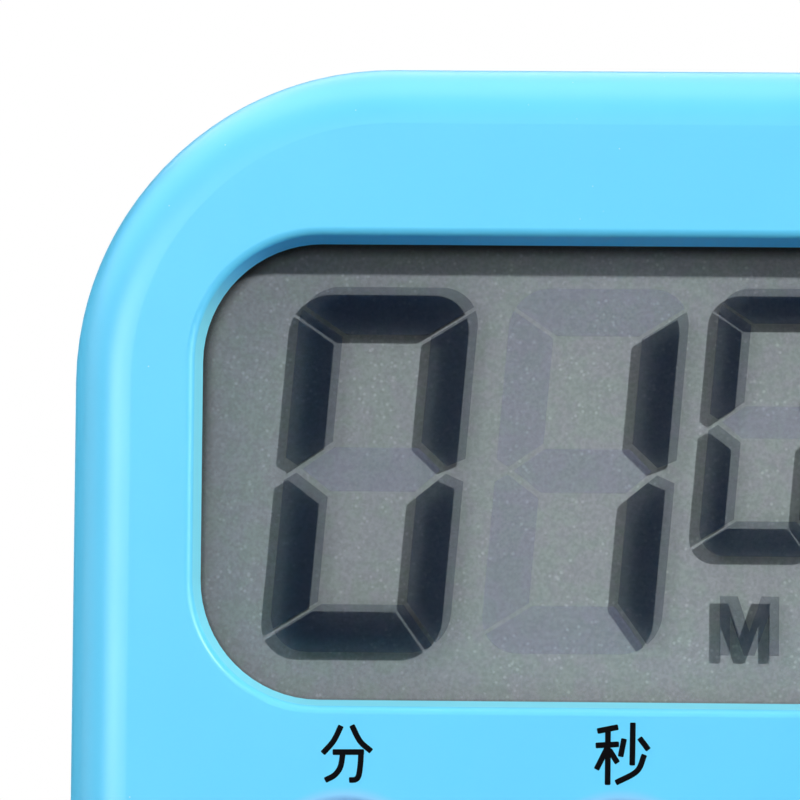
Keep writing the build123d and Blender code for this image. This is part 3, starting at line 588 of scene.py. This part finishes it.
def add_piece(name, tubes, material, body):
    """One mesh from rings of points: placed in the part's frame, riding on a body."""
    vertices = []
    faces = []
    start = 0
    for points in tubes:
        ring_vertices, ring_faces = tube(points, start)
        vertices.append(ring_vertices)
        faces.extend(ring_faces)
        start += len(ring_vertices)
    mesh = bpy.data.meshes.new(name)
    mesh.from_pydata(np.concatenate(vertices).tolist(), [], faces)
    work = bmesh.new()
    work.from_mesh(mesh)
    bmesh.ops.recalc_face_normals(work, faces=work.faces)
    work.to_mesh(mesh)
    work.free()
    mesh.materials.append(material)
    piece = bpy.data.objects.new(name, mesh)
    bpy.context.scene.collection.objects.link(piece)
    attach(piece, body)
    return piece


def smooth_path(points, steps=8):
    """A path through points: each stretch is the cubic whose ends lean along their neighbours."""
    knots = np.asarray(points, float)
    if len(knots) == 2:
        return knots
    padded = np.concatenate([2 * knots[:1] - knots[1:2], knots, 2 * knots[-1:] - knots[-2:-1]])
    before, first, second, after = padded[:-3], padded[1:-2], padded[2:-1], padded[3:]
    t = np.linspace(0.0, 1.0, steps, endpoint=False)[None, :, None]
    before, first, second, after = (part[:, None, :] for part in (before, first, second, after))
    curve = 0.5 * (2 * first + (second - before) * t
                   + (2 * before - 5 * first + 4 * second - after) * t ** 2
                   + (3 * first - before - 3 * second + after) * t ** 3)
    return np.concatenate([curve.reshape(-1, 2), knots[-1:]])


def across(path):
    """Unit vectors square to a path in its plane."""
    along = np.gradient(path, axis=0)
    along /= np.linalg.norm(along, axis=1, keepdims=True)
    return np.stack([-along[:, 1], along[:, 0]], axis=1)


def carried_profile(path, side, depth, width=1.0):
    """Rings of a profile carried along a path in the face's plane.

    A ring's point is the path's point plus the profile's side distance square to the path, times
    the width there, at the profile's own depth.
    """
    square = across(path) * np.reshape(width, (-1, 1))
    flat = path[:, None, :] + square[:, None, :] * side[None, :, None]
    y = np.broadcast_to(depth[None, :], flat.shape[:2])
    return np.stack([flat[..., 0], y, flat[..., 1]], axis=-1)


# Rings at the end of a stroke: how far they stand past it in half strokes, and how wide they are
END_REACH = np.array((-0.35, -0.05, 0.10, 0.16))
END_WIDTH = np.array((1.0, 0.97, 0.85, 0.66))
# Points of a stroke's half ellipse
INK_POINTS = 7


def stroke_end(before, end, half):
    """Points of the rings at a stroke's end, on the line that leads to it from the point before."""
    out = (end - before) / np.linalg.norm(end - before)
    return end + half * END_REACH[:, None] * out


def ink_stroke(points, centre, settings):
    """A printed stroke: half an ellipse, as wide as the stroke, carried along its path.

    The width falls a little just before each end, so that the blunt ends have soft corners.
    """
    path = smooth_path(np.asarray(points) * MM + np.asarray(centre))
    half = settings.stroke / 2
    head = stroke_end(path[1], path[0], half)
    foot = stroke_end(path[-2], path[-1], half)
    width = np.concatenate([END_WIDTH[::-1], np.ones(len(path) - 2), END_WIDTH])
    path = np.concatenate([head[::-1], path[1:-1], foot])
    turn = np.linspace(0.0, math.pi, INK_POINTS)
    side = half * np.cos(turn)
    depth = FACE_Y - settings.ink_height * np.sin(turn)
    return carried_profile(path, side, depth, width)


# Strokes of the printed legends, in millimetres about the middle of each legend
MINUTE_STROKES = (
    ((-0.31, 1.56), (-0.74, 0.68), (-1.35, -0.03)),
    ((0.33, 1.59), (0.81, 0.69), (1.46, 0.11)),
    ((-0.76, 0.03), (1.03, 0.05)),
    ((0.88, 0.10), (0.85, -0.60), (0.76, -1.30), (0.58, -1.55), (0.22, -1.59)),
    ((-0.18, 0.00), (-0.32, -0.82), (-0.66, -1.31), (-1.19, -1.61)),
)
SECOND_STROKES = (
    ((-1.43, 1.40), (-0.26, 1.64)),
    ((-1.52, 0.56), (-0.21, 0.64)),
    ((-0.83, 1.46), (-0.83, -1.71)),
    ((-0.88, 0.40), (-1.48, -0.82)),
    ((-0.74, 0.30), (-0.27, -0.43)),
    ((0.11, 0.95), (-0.08, -0.06)),
    ((0.62, 1.89), (0.60, -0.56)),
    ((1.02, 1.01), (1.53, 0.35)),
    ((1.30, 0.03), (0.87, -0.92), (-0.34, -1.60)),
)
START_STOP_STROKES = (
    ((-1.55, 1.10), (-1.55, -1.10)),
    ((-1.60, 1.02), (0.02, -0.06)),
    ((-1.60, -1.02), (0.02, 0.06)),
    ((0.70, 1.10), (0.70, -1.10)),
    ((1.45, 1.10), (1.45, -1.10)),
)


class TIMER_OT_key_legends(bpy.types.Operator):
    """Print the minute, second and start-stop marks above the keys"""
    bl_idname = "timer.key_legends"
    bl_label = "Key legends"

    def execute(self, context):
        settings = context.scene.timer_legends
        ink = printing_ink(settings)
        legends = (MINUTE_STROKES, SECOND_STROKES, START_STOP_STROKES)
        for key, strokes in zip(KEYS, legends):
            low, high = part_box(key)
            middle = (low + high) / 2
            centre = (middle.x, middle.z + settings.rise)
            name = key.replace("_key", "_legend")
            add_piece(name, [ink_stroke(points, centre, settings) for points in strokes],
                      ink, "case")
        return {"FINISHED"}


def letter_m(size, stroke, centre, low_y, high_y):
    """Rings of a block letter with two stems and a flat-footed V, drawn as one outline.

    The V's notch and the crotches beside its arms lie a share of the letter's height below its top.
    """
    half = size / 2
    notch = half - 0.60 * size
    crotch = half - 0.33 * size
    shoulder = half - 1.75 * stroke
    foot = stroke / 2
    stem = half - stroke
    right = [
        (0.0, notch), (shoulder, half), (half, half), (half, -half),
        (stem, -half), (stem, crotch), (foot, -half)]
    left = [(-x, z) for x, z in right[:0:-1]]
    outline = np.array(right + left) + np.asarray(centre)
    rings = [np.stack([outline[:, 0], np.full(len(outline), y), outline[:, 1]], axis=1)
             for y in (low_y, high_y)]
    return np.stack(rings)


def letter_s(size, stroke, centre, low_y, high_y):
    """Rings of a flat ribbon along two three-quarter ellipses that meet in the middle."""
    across_radius = (size - stroke) * 0.42
    up_radius = (size - stroke) / 4
    start = math.radians(20.0)
    stop = math.radians(270.0)
    steps = 22
    turn = np.linspace(start, stop, steps)
    upper = np.stack([across_radius * np.cos(turn), up_radius + up_radius * np.sin(turn)], axis=1)
    lower = -upper[::-1]
    path = np.concatenate([upper, lower[1:]]) + np.asarray(centre)
    half = stroke / 2
    side = np.array([-half, half, half, -half])
    depth = np.array([low_y, low_y, high_y, high_y])
    return carried_profile(path, side, depth)


class TIMER_OT_unit_marks(bpy.types.Operator):
    """Add the unit letters in the crystal layer, under the small digits"""
    bl_idname = "timer.unit_marks"
    bl_label = "Unit marks"

    def execute(self, context):
        settings = context.scene.timer_display
        film = display_film(settings)
        middle_z = film_low.z + settings.mark_size / 2
        letters = (("minute_mark", letter_m), ("second_mark", letter_s))
        for index, (name, letter) in enumerate(letters):
            centre = (settings.mark_x + index * settings.mark_pitch, middle_z)
            rings = letter(settings.mark_size, settings.mark_stroke, centre, film_low.y, film_high.y)
            add_piece(name, [rings], film, "case")
        return {"FINISHED"}


class TIMER_OT_display_glass(bpy.types.Operator):
    """Lay one clear block over the display in place of its front film and two plates"""
    bl_idname = "timer.display_glass"
    bl_label = "Display glass"

    def execute(self, context):
        rear_low, rear_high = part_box("lcd_rear_glass")
        edge = 0.08 * MM
        reflector_gap = 0.02 * MM
        back_y = rear_high.y - reflector_gap
        layers = (
            (polariser_low.y, polariser_low.z, 0.0),
            (glass_low.y, polariser_low.z, 0.0),
            (glass_low.y, glass_low.z + edge, edge),
            (glass_low.y + edge, glass_low.z, 0.0),
            (glass_high.y - edge, glass_low.z, 0.0),
            (glass_high.y, glass_low.z + edge, edge),
            (glass_high.y, rear_low.z, edge),
            (back_y - edge, rear_low.z, 0.0),
            (back_y, rear_low.z + edge, edge),
        )
        rings = [self.plate_ring(y, low_z, inset) for y, low_z, inset in layers]
        piece = add_piece("display_glass", [np.stack(rings)],
                          display_clear(context.scene.timer_display), "case")
        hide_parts("lcd_front_polariser", "lcd_front_glass", "lcd_rear_glass")
        return {"FINISHED"}

    def plate_ring(self, y, low_z, inset):
        """Rectangle of the plates at a depth, from a lower edge, drawn in by an inset."""
        left = glass_low.x + inset
        right = glass_high.x - inset
        top = glass_high.z - inset
        return np.array([(left, y, low_z), (right, y, low_z), (right, y, top), (left, y, top)])


def dress(material, *names):
    """Give CAD nodes their material."""
    for name in names:
        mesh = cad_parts[name].data
        mesh.materials.clear()
        mesh.materials.append(material)


class TIMER_OT_case_finish(bpy.types.Operator):
    """Finish the mouldings: polished front, grained back"""
    bl_idname = "timer.case_finish"
    bl_label = "Case finish"

    def execute(self, context):
        settings = context.scene.timer_case
        dress(case_gloss(settings), "front_shell")
        dress(case_matt(settings), "rear_cover", "battery_door", "stand")
        return {"FINISHED"}


class TIMER_OT_key_finish(bpy.types.Operator):
    """Finish the key caps, the rubber mat under them and its contact pills"""
    bl_idname = "timer.key_finish"
    bl_label = "Key finish"

    def execute(self, context):
        dress(key_plastic(context.scene.timer_case), *KEYS)
        silicone = mottled(
            "silicone", dark=(0.50, 0.50, 0.50), light=(0.60, 0.60, 0.59),
            grain=3.0, roughness=0.55, relief=0.01)
        carbon = mottled(
            "carbon_rubber", dark=(0.010, 0.010, 0.011), light=(0.03, 0.03, 0.03),
            grain=0.8, roughness=0.7, relief=0.01)
        dress(silicone, "rubber_keypad")
        dress(carbon, "minute_contact_pill", "second_contact_pill", "start_stop_contact_pill")
        return {"FINISHED"}


class TIMER_OT_display_finish(bpy.types.Operator):
    """Finish the layers of the display"""
    bl_idname = "timer.display_finish"
    bl_label = "Display finish"

    def execute(self, context):
        settings = context.scene.timer_display
        dress(display_film(settings), "lcd_segments_on")
        dress(display_ghost(settings), "lcd_segments_off")
        dress(display_grey(settings), "lcd_reflector")
        glue = mottled(
            "seal_glue", dark=(0.10, 0.10, 0.09), light=(0.17, 0.16, 0.14), grain=1.0, roughness=0.5)
        foam = mottled(
            "foam", dark=(0.04, 0.04, 0.045), light=(0.08, 0.08, 0.085),
            grain=0.4, roughness=0.9, relief=0.05)
        dress(glue, "lcd_cell_seal")
        dress(foam, "lcd_backing_foam")
        return {"FINISHED"}


class TIMER_OT_works_finish(bpy.types.Operator):
    """Finish the board, its parts and the sounder"""
    bl_idname = "timer.works_finish"
    bl_label = "Works finish"

    def execute(self, context):
        dress(board_laminate(), "circuit_board")
        zebra = mottled(
            "zebra_rubber", dark=(0.03, 0.03, 0.03), light=(0.42, 0.42, 0.44),
            grain=0.05, roughness=0.6, stretch=(1.0, 0.02, 0.02))
        epoxy = mottled(
            "black_epoxy", dark=(0.008, 0.008, 0.009), light=(0.022, 0.022, 0.024),
            grain=1.5, roughness=0.3, relief=0.01)
        can = mottled(
            "can_steel", dark=(0.55, 0.55, 0.56), light=(0.72, 0.72, 0.73),
            grain=0.7, roughness=0.28, metallic=1.0, stretch=(0.2, 1.0, 1.0))
        chips = mottled(
            "chip_ceramic", dark=(0.16, 0.11, 0.07), light=(0.26, 0.18, 0.12), grain=0.6, roughness=0.45)
        brass = mottled(
            "sounder_brass", dark=(0.62, 0.42, 0.14), light=(0.78, 0.56, 0.24),
            grain=2.0, roughness=0.3, metallic=1.0, relief=0.004)
        ceramic = mottled(
            "sounder_ceramic", dark=(0.62, 0.60, 0.55), light=(0.75, 0.73, 0.68), grain=1.5, roughness=0.5)
        sleeve = mottled(
            "wire_sleeve", dark=(0.30, 0.010, 0.012), light=(0.42, 0.02, 0.02), grain=1.2, roughness=0.42)
        dress(zebra, "zebra_connector")
        dress(epoxy, "controller_blob")
        dress(can, "quartz_crystal")
        dress(chips, "chip_components")
        dress(brass, "buzzer_disc")
        dress(ceramic, "buzzer_ceramic")
        dress(sleeve, "battery_wires", "buzzer_wires")
        return {"FINISHED"}


class TIMER_OT_battery_finish(bpy.types.Operator):
    """Finish the battery, its contacts, the screws and the magnets"""
    bl_idname = "timer.battery_finish"
    bl_label = "Battery finish"

    def execute(self, context):
        dress(cell_jacket(), "aaa_cell")
        nickel = mottled(
            "contact_nickel", dark=(0.60, 0.58, 0.54), light=(0.76, 0.74, 0.70),
            grain=0.9, roughness=0.25, metallic=1.0, stretch=(1.0, 1.0, 0.2))
        steel = mottled(
            "screw_steel", dark=(0.40, 0.40, 0.41), light=(0.62, 0.62, 0.63),
            grain=0.5, roughness=0.32, metallic=1.0, relief=0.003)
        plating = mottled(
            "magnet_plating", dark=(0.50, 0.50, 0.50), light=(0.66, 0.66, 0.65),
            grain=1.4, roughness=0.3, metallic=1.0, relief=0.004)
        dress(nickel, "battery_contact_positive", "battery_contact_negative")
        dress(steel, "case_screws", "board_screws")
        dress(plating, "magnets")
        return {"FINISHED"}


# Stage

def aim(thing, place, target, roll=0.0):
    """Put a camera or a lamp at a place and turn it to a target."""
    forward = (Vector(target) - Vector(place)).normalized()
    right = forward.cross(Vector((0.0, 0.0, 1.0))).normalized()
    up = right.cross(forward)
    turned_right = math.cos(roll) * right + math.sin(roll) * up
    turned_up = math.cos(roll) * up - math.sin(roll) * right
    turned = Matrix((turned_right, turned_up, -forward)).transposed().to_4x4()
    thing.matrix_world = Matrix.Translation(Vector(place)) @ turned


# Apparent size of the key light, which softens its shadows
SUN_ANGLE = math.radians(2.5)

# Soft lamps: place, width and height in metres, brightness and role. A fill lights the surfaces
# and doesn't show in them, and a card only shows in them.
SOFT_LAMPS = (
    ("front_lamp", (0.0, -0.75, 0.27), 0.6, 0.36, 0.3, "fill"),
    ("front_card", (0.0, -0.75, 0.24), 0.4, 0.16, 6.0, "card"),
    ("overhead_lamp", (0.0, -0.20, 0.58), 0.5, 0.3, 2.0, "fill"),
    ("overhead_card", (0.0, -0.08, 0.60), 0.6, 0.4, 4.0, "card"),
    ("upper_left_lamp", (-0.42, -0.45, 0.32), 0.35, 0.35, 2.3, "fill"),
    ("left_fill", (-0.55, 0.0, 0.08), 0.35, 0.35, 4.9, "fill"),
    ("right_fill", (0.55, -0.07, 0.10), 0.3, 0.3, 2.6, "fill"),
    ("rear_lamp", (0.0, 0.65, 0.06), 0.6, 0.4, 3.4, "fill"),
    ("left_strip", (-0.27, -0.43, 0.02), 0.26, 0.3, 10.0, "card"),
    ("corner_card", (-0.36, -0.47, 0.40), 0.3, 0.3, 1.0, "card"),
    ("side_card", (-0.42, 0.0, 0.42), 0.5, 0.5, 3.0, "card"),
    ("upper_card", (0.0, -0.50, 0.52), 0.6, 0.3, 2.5, "card"),
    ("rear_card", (0.0, 0.36, 0.56), 0.9, 0.5, 2.8, "card"),
    ("right_card", (0.5, -0.3, 0.1), 0.35, 0.4, 6.0, "card"),
)


def soft_lamp(name, place, width, height, radiance, role):
    """A rectangular lamp of an even brightness, aimed at the middle of the case."""
    lamp = bpy.data.lights.new(name, "AREA")
    lamp.shape = "RECTANGLE"
    lamp.size = width
    lamp.size_y = height
    lamp.energy = radiance * math.pi * width * height
    thing = bpy.data.objects.new(name, lamp)
    bpy.context.scene.collection.objects.link(thing)
    aim(thing, place, (case_low + case_high) / 2)
    thing.visible_camera = False
    thing.visible_diffuse = role == "fill"
    thing.visible_glossy = role == "card"


WHITE = (1.0, 1.0, 1.0, 1.0)


def floor_material():
    """White floor that keeps the shadow and fades into the white surroundings at its rim."""
    material, graph = new_graph("stage_floor")
    own_light = 0.62
    fade_start = 0.16
    fade_end = 0.36
    place = graph.node("ShaderNodeTexCoord", output="Object")
    reach = graph.node("ShaderNodeVectorMath", {"operation": "LENGTH"}, {0: place}, "Value")
    grain = graph.noise(3.0)
    base = graph.mix(grain, (0.39, 0.39, 0.39), (0.41, 0.41, 0.41))
    floor = graph.node("ShaderNodeBsdfDiffuse", None, {"Color": base})
    glow = graph.node("ShaderNodeEmission", None, {
        "Color": WHITE, "Strength": own_light * graph.ray("Is Camera Ray")})
    lit = graph.node("ShaderNodeAddShader", None, {0: floor, 1: glow})
    clear = graph.node("ShaderNodeBsdfTransparent")
    rim = graph.ease(reach, fade_start, fade_end)
    shader = graph.node("ShaderNodeMixShader", None, {0: rim, 1: lit, 2: clear})
    graph.node("ShaderNodeOutputMaterial", None, {"Surface": shader})
    return material


def floor_disc(radius):
    """Vertices and faces of a disc: rings about the middle, wider apart towards the rim."""
    spokes = 64
    rings = 12
    turn = np.linspace(0.0, 2 * math.pi, spokes, endpoint=False)
    reach = radius * np.linspace(0.02, 1.0, rings) ** 1.5
    points = np.stack([
        reach[:, None] * np.cos(turn), reach[:, None] * np.sin(turn),
        np.zeros((len(reach), len(turn)))], axis=-1)
    faces = grid_faces(*points.shape[:2])
    faces.append(list(range(len(turn))))
    return points.reshape(-1, 3), faces


class TIMER_OT_stage(bpy.types.Operator):
    """Set the camera, the lamps, the white surroundings and the floor"""
    bl_idname = "timer.stage"
    bl_label = "Stage"

    def execute(self, context):
        settings = context.scene.timer_stage
        scene = context.scene
        scene.view_settings.view_transform = "Standard"
        self.camera(scene, settings)
        self.lamps(scene, settings)
        self.surroundings(scene, settings)
        vertices, faces = floor_disc(settings.floor_radius)
        mesh = bpy.data.meshes.new("stage_floor")
        mesh.from_pydata(vertices.tolist(), [], faces)
        mesh.materials.append(floor_material())
        floor = bpy.data.objects.new("stage_floor", mesh)
        scene.collection.objects.link(floor)
        return {"FINISHED"}

    def camera(self, scene, settings):
        """A long lens in front of the face, a little below its middle."""
        camera = bpy.data.cameras.new("camera")
        camera.lens = settings.lens
        camera.clip_start = 0.01
        thing = bpy.data.objects.new("camera", camera)
        scene.collection.objects.link(thing)
        aim(thing, settings.eye, settings.target, settings.roll)
        scene.camera = thing

    def lamps(self, scene, settings):
        """A hard key light from the upper right, and the soft lamps about the case."""
        sun = bpy.data.lights.new("key_light", "SUN")
        sun.energy = settings.sun_strength
        sun.angle = SUN_ANGLE
        thing = bpy.data.objects.new("key_light", sun)
        scene.collection.objects.link(thing)
        aim(thing, (settings.sun_side, -1.0, settings.sun_rise), (0.0, 0.0, 0.0))
        for lamp in SOFT_LAMPS:
            soft_lamp(*lamp)

    def surroundings(self, scene, settings):
        """White to the eye, also through the clear plates, and dim as a light and in reflections."""
        world = bpy.data.worlds.new("surroundings")
        world.use_nodes = True
        scene.world = world
        graph = Graph(world.node_tree)
        seen = graph.ray("Is Camera Ray")
        strength = settings.ambient + (1.0 - settings.ambient) * seen
        back = graph.node("ShaderNodeBackground", None, {
            "Color": WHITE, "Strength": strength})
        graph.node("ShaderNodeOutputWorld", None, {"Surface": back})


# Add-on

OPERATORS = (
    TIMER_OT_key_legends,
    TIMER_OT_unit_marks,
    TIMER_OT_display_glass,
    TIMER_OT_case_finish,
    TIMER_OT_key_finish,
    TIMER_OT_display_finish,
    TIMER_OT_works_finish,
    TIMER_OT_battery_finish,
    TIMER_OT_stage,
)
SETTINGS = {
    "timer_case": TimerCase,
    "timer_display": TimerDisplay,
    "timer_legends": TimerLegends,
    "timer_stage": TimerStage,
}


class TIMER_PT_panel(bpy.types.Panel):
    """Sidebar list of the timer's settings and operators"""
    bl_idname = "TIMER_PT_panel"
    bl_label = "Kitchen timer"
    bl_space_type = "VIEW_3D"
    bl_region_type = "UI"
    bl_category = "Timer"

    def draw(self, context):
        layout = self.layout
        for name, group in SETTINGS.items():
            settings = getattr(context.scene, name)
            for prop in group.__annotations__:
                layout.prop(settings, prop)
        for operator in OPERATORS:
            layout.operator(operator.bl_idname)


CLASSES = (*SETTINGS.values(), *OPERATORS, TIMER_PT_panel)


def register():
    """Register the classes and hang their settings on the scene."""
    for item in CLASSES:
        bpy.utils.register_class(item)
    for name, group in SETTINGS.items():
        setattr(bpy.types.Scene, name, bpy.props.PointerProperty(type=group))


def unregister():
    """Take the settings and classes away again."""
    for name in SETTINGS:
        delattr(bpy.types.Scene, name)
    for item in reversed(CLASSES):
        bpy.utils.unregister_class(item)


def main():
    """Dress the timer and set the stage."""
    register()
    bpy.ops.timer.key_legends()
    bpy.ops.timer.unit_marks()
    bpy.ops.timer.display_glass()
    bpy.ops.timer.case_finish()
    bpy.ops.timer.key_finish()
    bpy.ops.timer.display_finish()
    bpy.ops.timer.works_finish()
    bpy.ops.timer.battery_finish()
    bpy.ops.timer.stage()


if __name__ == "__main__":
    main()
